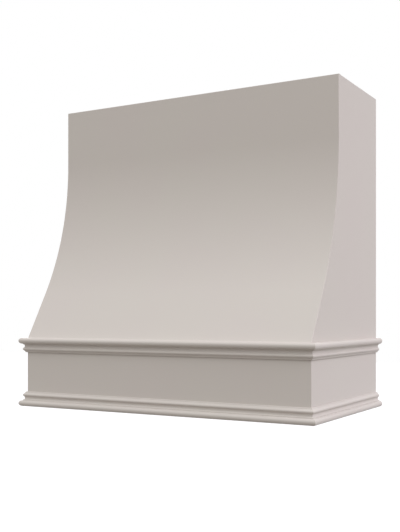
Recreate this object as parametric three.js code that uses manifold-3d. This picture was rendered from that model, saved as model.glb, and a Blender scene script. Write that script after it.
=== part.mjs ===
// A curved wooden range hood cover for a 36 inch range, hung on a bevelled wall cleat.
// Millimetres, +Z up. The wall is the plane y = 0 and the front faces -Y. Heights are measured from the
// foot of the cover while it is built, and the finished model is lowered so that its origin is the middle
// of the wall cleat's back face. Depths are distances in front of the wall, so a depth is -y.

import * as THREE from "three";
import { mergeVertices } from "three/addons/utils/BufferGeometryUtils.js";
import Module from "manifold-3d";

const wasm = await Module();
wasm.setup();

// Overall form, as it stands in front of the wall
const coverWidth = 914;
const coverHeight = 914;
const topDepth = 308.5;
const bandDepth = 498;
const slopeAngle = THREE.MathUtils.degToRad(30.2); // of the straight lower slope, from upright
const frontRadius = 823; // of the hollow curve between the upright top and the slope
const apronHeight = 200;

// Stock
const sideThickness = 19;
const apronThickness = 19;
const skinThickness = 12;
const railThickness = 19;
const glueLine = 0.3; // between faces that are glued or screwed together
const skinSteps = 24; // facets round the hollow curve

// Moulding, the same stock in both places: a round nose, a cove and a small bead
const mouldingHeight = 43;
const mouldingProjection = 18.6;
const noseRadius = 8.6;
const noseInset = 0.4; // of the nose's round from the moulding's flat edge
const noseFrom = THREE.MathUtils.degToRad(-58); // where the nose's round starts, from straight out
const noseTo = THREE.MathUtils.degToRad(72);
const noseFlat = 3.9; // of the flat edge, past the middle of the nose's round
const beadRadius = 4.6;
const beadProjection = 9.4;
const beadFromEdge = 10; // from the thin edge to the middle of the bead
const beadFrom = THREE.MathUtils.degToRad(-57);
const beadTo = THREE.MathUtils.degToRad(54);
const coveProjection = 5.2; // at the bottom of the cove
const coveShare = 0.6; // of the way from nose to bead, where the cove is deepest
const coveEase = 1.3; // how softly the cove leaves the nose and meets the bead
const mouldingEdge = 4; // thickness left at the thin edge
const mouldingFacets = 9; // in each round of the section
const upperMouldingStandUp = 3.5; // of its top above the apron's top edge

// Rails, ribs and grooves
const grooveDepth = 6; // of the housings in the sides for the back rails
const hangingRailHeight = 120;
const topRailHeight = 70;
const lowerBackRailFoot = 20;
const lowerBackRailHeight = 140;
const baseRailThickness = 38;
const baseRailBelowSkin = 50;
const baseRailAboveApron = 30;
const ribThickness = 18;
const ribDepth = 60;
const ribSpacing = 292;
const ribBelowTop = 14;
const ribTail = 20; // of each rib below the apron's top edge, behind the base rail

// Wall cleat
const cleatHeight = 100;
const cleatEndGap = 28; // to each side panel
const cleatBevel = THREE.MathUtils.degToRad(45);
const studSpacing = 406.4;
const studScrewSpread = 44; // between the two holes at one stud
const studHoleRadius = 3.5;
const studHoleSides = 16;

// Floor that takes a ventilation insert
const insertRecess = 60; // from the foot of the cover up to its floor
const stripHeight = 38;
const stripThickness = 19;
const floorThickness = 12;
const rimSide = 75.7; // of plywood left beside the cut-out
const rimFront = 73.2; // and in front of it and behind it
const cutoutRadius = 8;
const cutoutFacets = 4;
const floorScrewInset = 70; // from the ends of the front and rear strips
const cornerBlockLeg = 38;

// Angle brackets
const bracketLeg = 50;
const bracketWidth = 30;
const bracketThickness = 2.5;
const bracketBelowTop = 40;
const bracketHoleNear = 18; // from the bend to each hole
const bracketHoleFar = 38;

// Countersunk wood screws
const screwHeadRadius = 4;
const screwRadius = 2;
const screwRim = 0.4;
const screwCone = 2.2;
const screwPoint = 5;
const screwSides = 10;
const screwRecess = 0.5; // of a head below the wood
const screwClearance = 0.3;
const screwTip = 0.2; // radius left at the point
const openEnd = 1; // how far a cutter runs past an open face
const stripScrewLength = 30;
const stripScrewRise = 24; // above the foot of a strip
const floorScrewLength = 25;
const bracketScrewLength = 15;

const half = coverWidth / 2;
const insideHalf = half - sideThickness;
const insideFront = bandDepth - apronThickness;

const painted = new THREE.MeshStandardMaterial({ color: "#c9c0b9", roughness: 0.45, metalness: 0 });
const plywood = new THREE.MeshStandardMaterial({ color: "#d8bd92", roughness: 0.7, metalness: 0 });
const pine = new THREE.MeshStandardMaterial({ color: "#d9b77f", roughness: 0.7, metalness: 0 });
const steel = new THREE.MeshStandardMaterial({ color: "#b9bcbf", roughness: 0.35, metalness: 1 });

function named(name, geometry, material) {
  const mesh = new THREE.Mesh(geometry, material);
  mesh.name = name;
  return mesh;
}

// Shapes

// An outline of [depth, height] points, made into a board that lies between two widths
function boardAcross(name, outline, fromX, toX, material) {
  const shape = new THREE.Shape(outline.map(([depth, height]) => new THREE.Vector2(-depth, height)));
  const geometry = new THREE.ExtrudeGeometry(shape, { depth: toX - fromX, bevelEnabled: false });
  const acrossFirst = new THREE.Matrix4().makeBasis(
    new THREE.Vector3(0, 1, 0),
    new THREE.Vector3(0, 0, 1),
    new THREE.Vector3(1, 0, 0),
  );
  geometry.applyMatrix4(acrossFirst);
  const board = named(name, geometry, material);
  board.position.x = fromX;
  return board;
}

function boxBoard(name, [fromX, toX], [nearDepth, farDepth], [fromZ, toZ], material) {
  const geometry = new THREE.BoxGeometry(toX - fromX, farDepth - nearDepth, toZ - fromZ);
  const board = named(name, geometry, material);
  board.position.set((fromX + toX) / 2, -(nearDepth + farDepth) / 2, (fromZ + toZ) / 2);
  return board;
}

// The front surface, or a line that runs behind it at an even distance
const curveFootDepth = topDepth + frontRadius * (1 - Math.cos(slopeAngle));
const curveTop =
  apronHeight + (bandDepth - curveFootDepth) / Math.tan(slopeAngle) + frontRadius * Math.sin(slopeAngle);

// The depth of that line at a height: straight up, round the curve or down the slope
function depthAt(behind, height) {
  const radius = frontRadius + behind;
  if (height >= curveTop) return topDepth - behind;
  if (height > curveTop - radius * Math.sin(slopeAngle)) {
    return topDepth + frontRadius - Math.sqrt(radius ** 2 - (curveTop - height) ** 2);
  }
  return bandDepth - behind / Math.cos(slopeAngle) - (height - apronHeight) * Math.tan(slopeAngle);
}

function frontLine(behind, foot, top) {
  const heights = [];
  for (let step = skinSteps; step >= 0; step--) {
    heights.push(curveTop - (frontRadius + behind) * Math.sin((slopeAngle * step) / skinSteps));
  }
  const within = heights.filter((height) => height > foot && height < top);
  return [foot, ...within, top].map((height) => [depthAt(behind, height), height]);
}

// Joining and cutting

function solidOf(geometry) {
  const bare = geometry.clone();
  bare.deleteAttribute("normal");
  bare.deleteAttribute("uv");
  const merged = mergeVertices(bare, 1e-4);
  return new wasm.Manifold(
    new wasm.Mesh({
      numProp: 3,
      vertProperties: new Float32Array(merged.attributes.position.array),
      triVerts: new Uint32Array(merged.index.array),
    }),
  );
}

function geometryOf(solid) {
  const { vertProperties, triVerts } = solid.getMesh();
  const geometry = new THREE.BufferGeometry();
  geometry.setAttribute("position", new THREE.BufferAttribute(new Float32Array(vertProperties), 3));
  geometry.setIndex(new THREE.BufferAttribute(new Uint32Array(triVerts), 1));
  return geometry;
}

// Takes cutters, which are meshes placed on the cover, out of a placed piece
function cut(piece, cutters) {
  piece.updateMatrix();
  const toPiece = piece.matrix.clone().invert();
  let solid = solidOf(piece.geometry);
  for (const cutter of cutters) {
    cutter.updateMatrix();
    const there = cutter.geometry.clone().applyMatrix4(cutter.matrix).applyMatrix4(toPiece);
    solid = solid.subtract(solidOf(there));
  }
  piece.geometry = geometryOf(solid);
  return piece;
}

// Gives a mirrored or turned shape its outside back
function facingOut(geometry) {
  const position = geometry.attributes.position;
  const [a, b, c] = [new THREE.Vector3(), new THREE.Vector3(), new THREE.Vector3()];
  let volume = 0;
  for (let i = 0; i < position.count; i += 3) {
    a.fromBufferAttribute(position, i);
    b.fromBufferAttribute(position, i + 1);
    c.fromBufferAttribute(position, i + 2);
    volume += a.dot(b.cross(c));
  }
  if (volume < 0) {
    for (let i = 0; i < position.count; i += 3) {
      b.fromBufferAttribute(position, i + 1);
      c.fromBufferAttribute(position, i + 2);
      position.setXYZ(i + 1, c.x, c.y, c.z);
      position.setXYZ(i + 2, b.x, b.y, b.z);
    }
  }
  return geometry;
}

// Screws

// The outline of a screw, or of the hole that clears it, from its head at height 0 down to its point
function screwOutline(length, spare) {
  const coneTop = -screwRim;
  const coneFoot = coneTop - screwCone;
  return [
    [screwHeadRadius + spare, coneTop],
    [screwRadius + spare, coneFoot],
    [screwRadius + spare, screwPoint - length],
    [screwTip + spare / 2, -length],
    [0, -length - spare],
  ];
}

function turned(points, sides) {
  return new THREE.LatheGeometry(
    points.map(([radius, height]) => new THREE.Vector2(radius, height)).reverse(),
    sides,
  );
}

// head is where the axis meets the surface that the screw is driven through, way is where it points
function screw(name, head, way, length, recess) {
  const body = turned([[0, 0], [screwHeadRadius, 0], ...screwOutline(length, 0)], screwSides);
  const mouth = recess + openEnd;
  const hole = turned(
    [[0, mouth], [screwHeadRadius + screwClearance, mouth], ...screwOutline(length, screwClearance)],
    screwSides,
  );
  const downToWay = new THREE.Quaternion().setFromUnitVectors(new THREE.Vector3(0, -1, 0), way);
  const seat = head.clone().addScaledVector(way, recess);
  const [driven, bore] = [named(name, body, steel), named("bore", hole, steel)];
  for (const piece of [driven, bore]) {
    piece.position.copy(seat);
    piece.quaternion.copy(downToWay);
  }
  return { driven, bore };
}

const bores = (screws) => screws.map((each) => each.bore);
const left = new THREE.Vector3(-1, 0, 0);
const right = new THREE.Vector3(1, 0, 0);
const front = new THREE.Vector3(0, -1, 0);
const back = new THREE.Vector3(0, 1, 0);
const up = new THREE.Vector3(0, 0, 1);
const hands = [
  ["left", -1, left],
  ["right", 1, right],
];

// Floor of the cover: a panel screwed up against four strips, so that its underside is clear

const stripFoot = insertRecess + floorThickness + glueLine;
const stripTop = stripFoot + stripHeight;
const stripHeights = [stripFoot, stripTop];
const stripInner = insideHalf - glueLine - stripThickness; // half the width between the side strips
const floorFront = insideFront - glueLine;
const floorBack = railThickness + glueLine;
const floorMiddle = (floorFront + floorBack) / 2;
const cutoutHalfWidth = insideHalf - glueLine - rimSide;
const cutoutHalfDepth = (floorFront - floorBack) / 2 - rimFront;
const stripScrewHeight = stripFoot + stripScrewRise;

const crossStripHalf = stripInner - glueLine;
const frontStripDepths = [floorFront - stripThickness, floorFront];
const rearStripDepths = [floorBack, floorBack + stripThickness];
const crossScrewSpacing = (crossStripHalf * 2) / 3;
const crossScrews = (name, depth, way) =>
  [-1, 0, 1].map((place, i) =>
    screw(
      `${name}_screw_${i + 1}`,
      new THREE.Vector3(place * crossScrewSpacing, -depth, stripScrewHeight),
      way,
      stripScrewLength,
      screwRecess,
    ),
  );
const frontStripScrews = crossScrews("front_strip", frontStripDepths[0], front);
const rearStripScrews = crossScrews("rear_strip", rearStripDepths[1], back);
const sideStripScrews = hands.map(([hand, sign, way]) =>
  [-1, 1].map((place, i) =>
    screw(
      `${hand}_strip_screw_${i + 1}`,
      new THREE.Vector3(sign * stripInner, -floorMiddle + place * cutoutHalfDepth, stripScrewHeight),
      way,
      stripScrewLength,
      screwRecess,
    ),
  ),
);

const floorScrewAcross = crossStripHalf - floorScrewInset;
const stripCentre = stripThickness / 2;
const floorScrewPlaces = [
  [-floorScrewAcross, floorFront - stripCentre],
  [0, floorFront - stripCentre],
  [floorScrewAcross, floorFront - stripCentre],
  [-floorScrewAcross, floorBack + stripCentre],
  [0, floorBack + stripCentre],
  [floorScrewAcross, floorBack + stripCentre],
  [-stripInner - stripCentre, floorMiddle],
  [stripInner + stripCentre, floorMiddle],
];
const floorScrews = floorScrewPlaces.map(([x, depth], i) =>
  screw(`floor_screw_${i + 1}`, new THREE.Vector3(x, -depth, insertRecess), up, floorScrewLength, screwRecess),
);

function insertFloor() {
  const shape = new THREE.Shape();
  const reach = insideHalf - glueLine;
  const outer = [[-reach, -floorFront], [reach, -floorFront], [reach, -floorBack], [-reach, -floorBack]];
  shape.setFromPoints(outer.map(([x, y]) => new THREE.Vector2(x, y)));
  const hole = new THREE.Path();
  const [x, y] = [cutoutHalfWidth - cutoutRadius, cutoutHalfDepth - cutoutRadius];
  const corners = [[x, y], [-x, y], [-x, -y], [x, -y]];
  corners.forEach(([cornerX, cornerY], i) => {
    const turn = (i * Math.PI) / 2;
    hole.absarc(cornerX, cornerY - floorMiddle, cutoutRadius, turn, turn + Math.PI / 2);
  });
  shape.holes.push(hole);
  const settings = { depth: floorThickness, bevelEnabled: false, curveSegments: cutoutFacets };
  const geometry = new THREE.ExtrudeGeometry(shape, settings);
  const panel = named("insert_panel", geometry, plywood);
  panel.position.z = insertRecess;
  return cut(panel, bores(floorScrews));
}

function floorParts() {
  const strips = [
    cut(
      boxBoard("front_strip", [-crossStripHalf, crossStripHalf], frontStripDepths, stripHeights, pine),
      bores([...frontStripScrews, ...floorScrews]),
    ),
    cut(
      boxBoard("rear_strip", [-crossStripHalf, crossStripHalf], rearStripDepths, stripHeights, pine),
      bores([...rearStripScrews, ...floorScrews]),
    ),
  ];
  hands.forEach(([hand, sign], i) => {
    const across = [sign * stripInner, sign * (stripInner + stripThickness)].sort((a, b) => a - b);
    const strip = boxBoard(`${hand}_strip`, across, [floorBack, floorFront], stripHeights, pine);
    strips.push(cut(strip, bores([...sideStripScrews[i], ...floorScrews])));
  });
  const screws = [...frontStripScrews, ...rearStripScrews, ...sideStripScrews.flat(), ...floorScrews];
  return [insertFloor(), ...strips, ...screws.map((each) => each.driven)];
}

// Back rails, and the brackets that tie the upper one to the sides

const railReach = insideHalf + grooveDepth - glueLine;
const hangingFoot = coverHeight - hangingRailHeight; // at the front of the bevel
const bevelDrop = railThickness * Math.tan(cleatBevel);

function hangingRail(screws) {
  const outline = [
    [0, hangingFoot - bevelDrop],
    [railThickness, hangingFoot],
    [railThickness, coverHeight],
    [0, coverHeight],
  ];
  return cut(boardAcross("hanging_rail", outline, -railReach, railReach, pine), bores(screws));
}

function lowerBackRail() {
  const heights = [lowerBackRailFoot, lowerBackRailFoot + lowerBackRailHeight];
  const rail = boxBoard("lower_back_rail", [-railReach, railReach], [0, railThickness], heights, pine);
  return cut(rail, bores(rearStripScrews));
}

const bracketMiddle = coverHeight - bracketBelowTop - bracketWidth / 2;
const bracketBack = railThickness + glueLine;

function bracketScrews(hand, sign, way) {
  const side = insideHalf - glueLine;
  const quarter = bracketWidth / 4;
  const places = [
    [side - bracketHoleNear, bracketBack + bracketThickness, -quarter, back],
    [side - bracketHoleFar, bracketBack + bracketThickness, quarter, back],
    [side - bracketThickness, bracketBack + bracketHoleNear, quarter, way],
    [side - bracketThickness, bracketBack + bracketHoleFar, -quarter, way],
  ];
  return places.map(([x, depth, rise, direction], i) =>
    screw(
      `${hand}_bracket_screw_${i + 1}`,
      new THREE.Vector3(sign * x, -depth, bracketMiddle + rise),
      direction,
      bracketScrewLength,
      0,
    ),
  );
}

function bracket(hand, sign, screws) {
  const corner = insideHalf - glueLine;
  const shape = new THREE.Shape();
  shape.moveTo(sign * corner, -bracketBack);
  shape.lineTo(sign * corner, -bracketBack - bracketLeg);
  shape.lineTo(sign * (corner - bracketThickness), -bracketBack - bracketLeg);
  shape.lineTo(sign * (corner - bracketThickness), -bracketBack - bracketThickness);
  shape.lineTo(sign * (corner - bracketLeg), -bracketBack - bracketThickness);
  shape.lineTo(sign * (corner - bracketLeg), -bracketBack);
  const geometry = new THREE.ExtrudeGeometry(shape, { depth: bracketWidth, bevelEnabled: false });
  const piece = named(`${hand}_angle_bracket`, geometry, steel);
  piece.position.z = bracketMiddle - bracketWidth / 2;
  return cut(piece, bores(screws));
}

// Sides, front and ribs

function sidePanel(hand, sign, screws) {
  const behindSkin = skinThickness + glueLine;
  const outline = [
    [0, 0],
    [insideFront - glueLine, 0],
    [insideFront - glueLine, apronHeight + glueLine],
    ...frontLine(behindSkin, apronHeight + glueLine, coverHeight),
    [0, coverHeight],
  ];
  const fromX = sign < 0 ? -half : insideHalf;
  const panel = boardAcross(`${hand}_side_panel`, outline, fromX, fromX + sideThickness, painted);
  const groove = (foot, top) => {
    const across = [sign * (insideHalf - openEnd), sign * (insideHalf + grooveDepth)].sort((a, b) => a - b);
    return boxBoard("groove", across, [-openEnd, railThickness + glueLine], [foot, top], painted);
  };
  const lowerTop = lowerBackRailFoot + lowerBackRailHeight;
  return cut(panel, [
    groove(hangingFoot - bevelDrop - glueLine, coverHeight + openEnd),
    groove(lowerBackRailFoot - glueLine, lowerTop + glueLine),
    ...bores(screws),
  ]);
}

function curvedFrontPanel() {
  const foot = apronHeight + glueLine;
  const outline = [
    ...frontLine(0, foot, coverHeight),
    ...frontLine(skinThickness, foot, coverHeight).reverse(),
  ];
  return boardAcross("curved_front_panel", outline, -half, half, painted);
}

function apronBoard() {
  const board = boxBoard("apron_board", [-half, half], [insideFront, bandDepth], [0, apronHeight], painted);
  return cut(board, bores(frontStripScrews));
}

const skinBack = skinThickness + glueLine;
const baseRailFront = insideFront - glueLine;
const baseRailBack = baseRailFront - baseRailThickness;
const baseRailFoot = apronHeight - baseRailBelowSkin;
const baseRailTop = apronHeight + baseRailAboveApron;
const railEnd = insideHalf - glueLine;

function skinBaseRail() {
  const bevelFoot = apronHeight + (depthAt(skinBack, apronHeight) - baseRailFront) / Math.tan(slopeAngle);
  const outline = [
    [baseRailBack, baseRailFoot],
    [baseRailFront, baseRailFoot],
    [baseRailFront, bevelFoot],
    [depthAt(skinBack, baseRailTop), baseRailTop],
    [baseRailBack, baseRailTop],
  ];
  return boardAcross("skin_base_rail", outline, -railEnd, railEnd, pine);
}

const topRailFront = depthAt(skinBack, coverHeight);
const topRailBack = topRailFront - railThickness;
const topRailFoot = coverHeight - topRailHeight;

function topFrontRail() {
  const depths = [topRailBack, topRailFront];
  return boxBoard("top_front_rail", [-railEnd, railEnd], depths, [topRailFoot, coverHeight], pine);
}

function rib(hand, sign) {
  const ribTop = coverHeight - ribBelowTop;
  const ribFoot = apronHeight - ribTail;
  const overBaseRail = baseRailTop + glueLine;
  const outline = [
    ...frontLine(skinBack, overBaseRail, topRailFoot - glueLine),
    [topRailBack - glueLine, topRailFoot - glueLine],
    [topRailBack - glueLine, ribTop],
    ...frontLine(skinBack + ribDepth, ribFoot, ribTop).reverse(),
    [baseRailBack - glueLine, ribFoot],
    [baseRailBack - glueLine, overBaseRail],
  ];
  const middle = (sign * ribSpacing) / 2;
  return boardAcross(`${hand}_rib`, outline, middle - ribThickness / 2, middle + ribThickness / 2, plywood);
}

// A triangular block glued into an upright corner of the band, its right angle at [x, depth]
function cornerBlock(name, sign, x, depth, towards, foot, top) {
  const shape = new THREE.Shape();
  shape.moveTo(sign * x, -depth);
  shape.lineTo(sign * (x - cornerBlockLeg), -depth);
  shape.lineTo(sign * x, -depth + towards * cornerBlockLeg);
  const geometry = new THREE.ExtrudeGeometry(shape, { depth: top - foot, bevelEnabled: false });
  const block = named(name, geometry, pine);
  block.position.z = foot;
  return block;
}

function cornerBlocks() {
  const blocks = [];
  const foot = stripTop + glueLine;
  const rearTop = lowerBackRailFoot + lowerBackRailHeight;
  for (const [hand, sign] of hands) {
    const x = insideHalf - glueLine;
    blocks.push(cornerBlock(`${hand}_front_block`, sign, x, floorFront, 1, foot, baseRailFoot - glueLine));
    blocks.push(cornerBlock(`${hand}_rear_block`, sign, x, floorBack, -1, foot, rearTop));
  }
  return blocks;
}

// Mouldings

// The section: out is the distance from the band, along is the distance from the nose's edge
function mouldingSection() {
  const noseOut = mouldingProjection - noseRadius;
  const noseAlong = noseRadius + noseInset;
  const noseEnd = noseAlong + noseRadius * Math.sin(noseTo);
  const beadOut = beadProjection - beadRadius;
  const beadAlong = mouldingHeight - beadFromEdge;
  const beadStart = [beadOut + beadRadius * Math.cos(beadFrom), beadAlong + beadRadius * Math.sin(beadFrom)];
  const beadEnd = beadAlong + beadRadius * Math.sin(beadTo);
  const coveAlong = THREE.MathUtils.lerp(noseEnd, beadStart[1], coveShare);
  const shape = new THREE.Shape();
  shape.moveTo(0, 0);
  shape.lineTo(noseOut + noseFlat, 0);
  shape.absarc(noseOut, noseAlong, noseRadius, noseFrom, noseTo);
  shape.quadraticCurveTo(coveProjection + coveEase, noseEnd + coveEase, coveProjection, coveAlong);
  shape.quadraticCurveTo(coveProjection, beadStart[1] - coveEase, ...beadStart);
  shape.absarc(beadOut, beadAlong, beadRadius, beadFrom, beadTo);
  shape.quadraticCurveTo(mouldingEdge, (beadEnd + mouldingHeight) / 2, mouldingEdge, mouldingHeight);
  shape.lineTo(0, mouldingHeight);
  return shape;
}

// A length of moulding. place turns [out, along, share of the length] into a point on the cover
function mouldingLength(name, place) {
  const settings = { depth: 1, bevelEnabled: false, curveSegments: mouldingFacets };
  const geometry = new THREE.ExtrudeGeometry(mouldingSection(), settings);
  const position = geometry.attributes.position;
  for (let i = 0; i < position.count; i++) {
    position.setXYZ(i, ...place(position.getX(i), position.getY(i), position.getZ(i)));
  }
  return named(name, facingOut(geometry), painted);
}

// Three lengths round the band, mitred at the front corners. rise is +1 where the nose is at the foot
function mouldingRound(place, noseHeight, rise) {
  const mitreGap = glueLine / 2;
  const frontFace = bandDepth + glueLine;
  const sideFace = half + glueLine;
  const height = (along) => noseHeight + rise * along;
  const lengths = [
    mouldingLength(`${place}_moulding_front`, (out, along, share) => {
      const reach = sideFace + out - mitreGap;
      return [reach * (2 * share - 1), -(frontFace + out), height(along)];
    }),
  ];
  for (const [hand, sign] of hands) {
    lengths.push(
      mouldingLength(`${place}_moulding_${hand}`, (out, along, share) => {
        const reach = frontFace + out - mitreGap;
        return [sign * (sideFace + out), -reach * share, height(along)];
      }),
    );
  }
  return lengths;
}

// The wall cleat, with two holes for each of two studs

const cleatTop = hangingFoot - glueLine / Math.cos(cleatBevel);
const cleatFoot = hangingFoot - cleatHeight;
const cleatMiddle = (cleatFoot + cleatTop - bevelDrop) / 2;

function wallCleat() {
  const outline = [
    [0, cleatFoot],
    [railThickness, cleatFoot],
    [railThickness, cleatTop],
    [0, cleatTop - bevelDrop],
  ];
  const holes = [];
  for (const [, sign] of hands) {
    for (const rise of [-1, 1]) {
      const bit = new THREE.CylinderGeometry(studHoleRadius, studHoleRadius, railThickness * 3, studHoleSides);
      const hole = named("hole", bit, steel);
      hole.position.set((sign * studSpacing) / 2, 0, cleatMiddle + (rise * studScrewSpread) / 2);
      holes.push(hole);
    }
  }
  const reach = insideHalf - cleatEndGap;
  return cut(boardAcross("wall_cleat", outline, -reach, reach, pine), holes);
}

// Assembly

const cover = new THREE.Group();
const bracketSets = hands.map(([hand, sign, way]) => bracketScrews(hand, sign, way));
hands.forEach(([hand, sign], i) => {
  cover.add(sidePanel(hand, sign, [...sideStripScrews[i], ...bracketSets[i]]));
  cover.add(bracket(hand, sign, bracketSets[i]), ...bracketSets[i].map((each) => each.driven));
  cover.add(rib(hand, sign));
});
cover.add(curvedFrontPanel(), apronBoard(), skinBaseRail(), topFrontRail());
cover.add(hangingRail(bracketSets.flat()), lowerBackRail());
cover.add(...floorParts(), ...cornerBlocks());
cover.add(...mouldingRound("upper", apronHeight + upperMouldingStandUp, -1));
cover.add(...mouldingRound("lower", 0, 1));

const hungCover = new THREE.Group();
hungCover.add(cover, wallCleat());
hungCover.position.z = -cleatMiddle;

export default hungCover;
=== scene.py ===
# A curved wooden range hood cover that hangs on a wall cleat, painted outside and bare wood inside.
# Metres, +Z up. The wall is the plane y = 0 and the front faces -Y.

import math

import bmesh
import bpy
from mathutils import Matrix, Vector


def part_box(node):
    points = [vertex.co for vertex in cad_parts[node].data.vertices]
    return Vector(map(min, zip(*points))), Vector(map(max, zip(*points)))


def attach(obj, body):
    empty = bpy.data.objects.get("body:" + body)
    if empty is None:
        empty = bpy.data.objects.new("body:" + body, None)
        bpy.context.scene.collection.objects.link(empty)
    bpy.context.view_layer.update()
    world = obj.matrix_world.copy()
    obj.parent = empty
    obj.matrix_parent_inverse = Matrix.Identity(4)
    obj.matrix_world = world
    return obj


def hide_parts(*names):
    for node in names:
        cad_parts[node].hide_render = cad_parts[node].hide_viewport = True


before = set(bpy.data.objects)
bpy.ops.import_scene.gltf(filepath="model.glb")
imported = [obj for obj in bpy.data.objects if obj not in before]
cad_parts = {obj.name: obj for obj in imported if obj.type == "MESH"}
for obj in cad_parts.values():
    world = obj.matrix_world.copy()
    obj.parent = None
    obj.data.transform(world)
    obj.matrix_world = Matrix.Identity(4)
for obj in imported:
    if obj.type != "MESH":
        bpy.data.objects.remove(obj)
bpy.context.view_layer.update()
bpy.ops.object.select_all(action="DESELECT")
print("frame loaded")


# Camera, at the photograph's place: in front and to the right, a little above the foot of the cover

photoCamera = {
    "place": (1.2588, -2.4205, -0.4626),
    "turnDegrees": 29.33,  # to the left of straight at the wall
    "lens": 56.88,
    "shiftRight": -0.0238,
    "shiftUp": 0.0921,
}


def addCamera():
    turn = (math.radians(90), 0, math.radians(photoCamera["turnDegrees"]))
    bpy.ops.object.camera_add(location=photoCamera["place"], rotation=turn)
    camera = bpy.context.object
    camera.name = "photoCamera"
    camera.data.lens = photoCamera["lens"]
    camera.data.shift_x = photoCamera["shiftRight"]
    camera.data.shift_y = photoCamera["shiftUp"]
    bpy.context.scene.camera = camera


addCamera()


# Sizes that several pieces share, taken from the frame

toRight = Vector((1, 0, 0))
toBack = Vector((0, 1, 0))
upwards = Vector((0, 0, 1))
apronLow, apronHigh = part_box("apron_board")
topRailLow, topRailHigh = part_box("top_front_rail")
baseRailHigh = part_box("skin_base_rail")[1]
cleatLow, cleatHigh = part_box("wall_cleat")
footZ = apronLow.z
apronTopZ = apronHigh.z
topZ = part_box("curved_front_panel")[1].z
halfWidth = apronHigh.x
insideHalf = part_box("right_side_panel")[0].x  # half the width between the side panels
bandDepth = -apronLow.y
apronThickness = apronHigh.y - apronLow.y
glueLine = 0.0003  # between glued pieces in the frame, closed here where it shows

curve = {
    "topDepth": 0.3085,  # of the upright part in front of the wall
    "slopeDegrees": 30.2,  # of the straight lower slope, from upright
    "radius": 0.823,  # of the hollow curve between them
    "skin": 0.012,  # thickness of the bent plywood
    "steps": 72,
}
slope = math.radians(curve["slopeDegrees"])
curveFootDepth = curve["topDepth"] + curve["radius"] * (1 - math.cos(slope))
curveFootZ = apronTopZ + (bandDepth - curveFootDepth) / math.tan(slope)
curveTopZ = curveFootZ + curve["radius"] * math.sin(slope)
curveCentre = Vector((0, -curve["topDepth"] - curve["radius"], curveTopZ))


# The point at a height on the straight slope, or on a line an even distance behind it
def slopePoint(x, behind, height):
    depth = bandDepth - behind / math.cos(slope) - (height - apronTopZ) * math.tan(slope)
    return Vector((x, -depth, height))


# Modelling moves

def selectOnly(*pieces):
    bpy.ops.object.select_all(action="DESELECT")
    for piece in pieces:
        piece.select_set(True)
    bpy.context.view_layer.objects.active = pieces[0]


def startEditing(piece):
    selectOnly(piece)
    bpy.ops.object.mode_set(mode="EDIT")


def stopEditing():
    bpy.ops.object.mode_set(mode="OBJECT")


# Moves an object's place, turn and size into its mesh
def placeInMesh():
    bpy.ops.object.transform_apply(location=True, rotation=True, scale=True)


# A block between two corners
def addBlock(name, lowest, highest):
    bpy.ops.object.select_all(action="DESELECT")
    lowest, highest = Vector(lowest), Vector(highest)
    bpy.ops.mesh.primitive_cube_add(size=1, location=(lowest + highest) / 2, scale=highest - lowest)
    block = bpy.context.object
    block.name = name
    placeInMesh()
    return block


def pickFaces(test):
    bpy.ops.mesh.select_mode(type="FACE")
    bpy.ops.mesh.select_all(action="DESELECT")
    mesh = bmesh.from_edit_mesh(bpy.context.object.data)
    for face in mesh.faces:
        if test(face.normal):
            face.select_set(True)
    bmesh.update_edit_mesh(bpy.context.object.data)


# The test takes an edge's middle and the normals of its faces
def pickEdges(test):
    bpy.ops.mesh.select_mode(type="EDGE")
    bpy.ops.mesh.select_all(action="DESELECT")
    mesh = bmesh.from_edit_mesh(bpy.context.object.data)
    for edge in mesh.edges:
        middle = (edge.verts[0].co + edge.verts[1].co) / 2
        if test(middle, [face.normal for face in edge.link_faces]):
            edge.select_set(True)
    bmesh.update_edit_mesh(bpy.context.object.data)


# Tests for a face's normal, by the cosine of its angle from a way

def everywhere(normal):
    return True


def facing(way, least=0.9):
    return lambda normal: normal.dot(way) > least


def edgeOn(way, most=0.5):
    return lambda normal: abs(normal.dot(way)) < most


def anyOf(*tests):
    return lambda normal: any(test(normal) for test in tests)


sharpDegrees = 35  # an edge that turns by more is an arris
nearly = 0.82  # about the cosine of the same angle


# True where one face of an edge looks nearly one way and another face nearly the other way
def between(normals, *ways):
    return all(any(normal.dot(way) > nearly for normal in normals) for way in ways)


def easeEdges(width, segments=3):
    bpy.ops.mesh.bevel(offset=width, segments=segments, affect="EDGES")


# Eases the arrises round a face that looks one way, where its neighbours look the other ways
def easeRound(way, neighbours, width):
    pickEdges(lambda middle, normals: any(between(normals, way, other) for other in neighbours))
    easeEdges(width)


def slide(move):
    bpy.ops.transform.translate(value=move)


def drawTo(move):
    bpy.ops.mesh.extrude_region_move(TRANSFORM_OT_translate={"value": move})


# A line starts as a small plane that is merged to one point
def startLine(name, point):
    bpy.ops.object.select_all(action="DESELECT")
    bpy.ops.mesh.primitive_plane_add(size=0.01, location=point)
    line = bpy.context.object
    line.name = name
    placeInMesh()
    bpy.ops.object.mode_set(mode="EDIT")
    bpy.ops.mesh.select_mode(type="VERT")
    bpy.ops.mesh.select_all(action="SELECT")
    bpy.ops.mesh.merge(type="CENTER")
    return line


def lineEnd():
    mesh = bmesh.from_edit_mesh(bpy.context.object.data)
    return next(vertex.co.copy() for vertex in mesh.verts if vertex.select)


def lineTo(*points):
    for point in points:
        drawTo(Vector(point) - lineEnd())


# Round a centre, by the right hand about the axis
def turnAbout(centre, axis, degrees, steps):
    bpy.ops.mesh.spin(steps=steps, angle=-math.radians(degrees), center=centre, axis=axis)


# Round the hollow curve, from its head down to the slope or back up
def followCurve(back=False):
    degrees = curve["slopeDegrees"] if back else -curve["slopeDegrees"]
    turnAbout(curveCentre, toRight, degrees, curve["steps"])


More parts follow.
